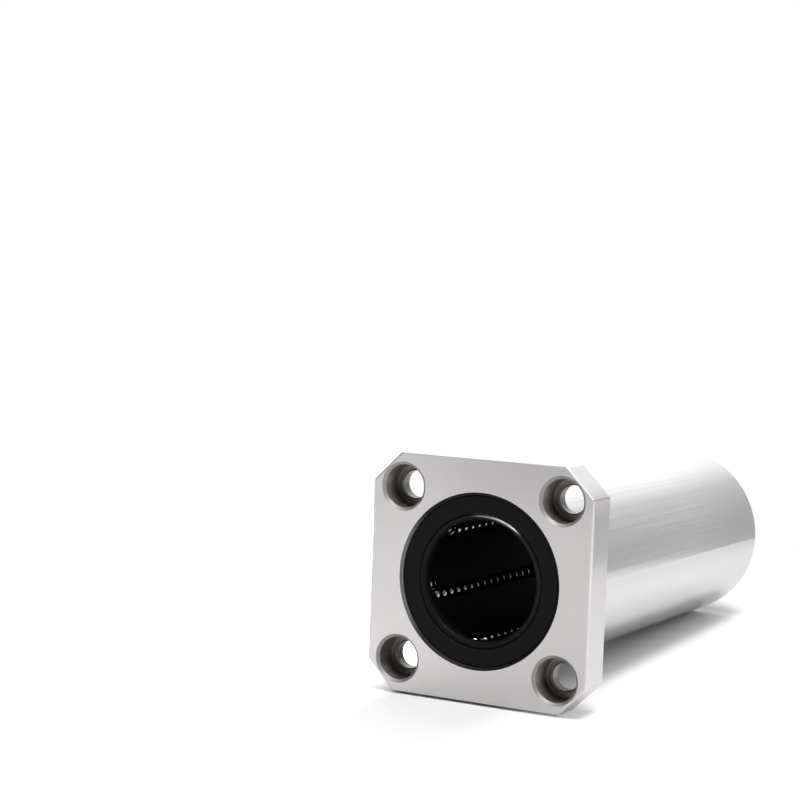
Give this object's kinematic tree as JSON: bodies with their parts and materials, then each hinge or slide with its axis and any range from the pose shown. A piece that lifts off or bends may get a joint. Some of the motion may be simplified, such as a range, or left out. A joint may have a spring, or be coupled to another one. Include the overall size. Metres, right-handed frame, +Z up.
{
  "type": "flanged linear bearing",
  "caption": "Flanged linear ball bearing: ground steel sleeve with a square bolt-on flange, recirculating balls in resin cages and rubber end seals. Guides a sliding shaft.",
  "frame": {"origin": "on the bearing axis, in the plane of the flange's seating face", "axes": "+Y along the bearing axis from the flange to the sleeve's tail, +Z up, +X along the flange's other side"},
  "size_m": [0.05, 0.112, 0.05],
  "materials": {
    "ground_steel": "ground",
    "ball_steel": "polished",
    "resin": "matte",
    "rubber": "satin",
    "spring_steel": "satin"
  },
  "bodies": {
    "root": {"flanged_sleeve": "ground_steel", "retainer_front": "resin", "retainer_rear": "resin", "snap_ring_front": "spring_steel", "snap_ring_rear": "spring_steel", "seal_front": "rubber", "seal_rear": "rubber", "balls_front_1": "ball_steel", "balls_front_2": "ball_steel", "balls_front_3": "ball_steel", "balls_front_4": "ball_steel", "balls_front_5": "ball_steel", "balls_front_6": "ball_steel", "balls_rear_1": "ball_steel", "balls_rear_2": "ball_steel", "balls_rear_3": "ball_steel", "balls_rear_4": "ball_steel", "balls_rear_5": "ball_steel", "balls_rear_6": "ball_steel"}
  },
  "joints": []
}
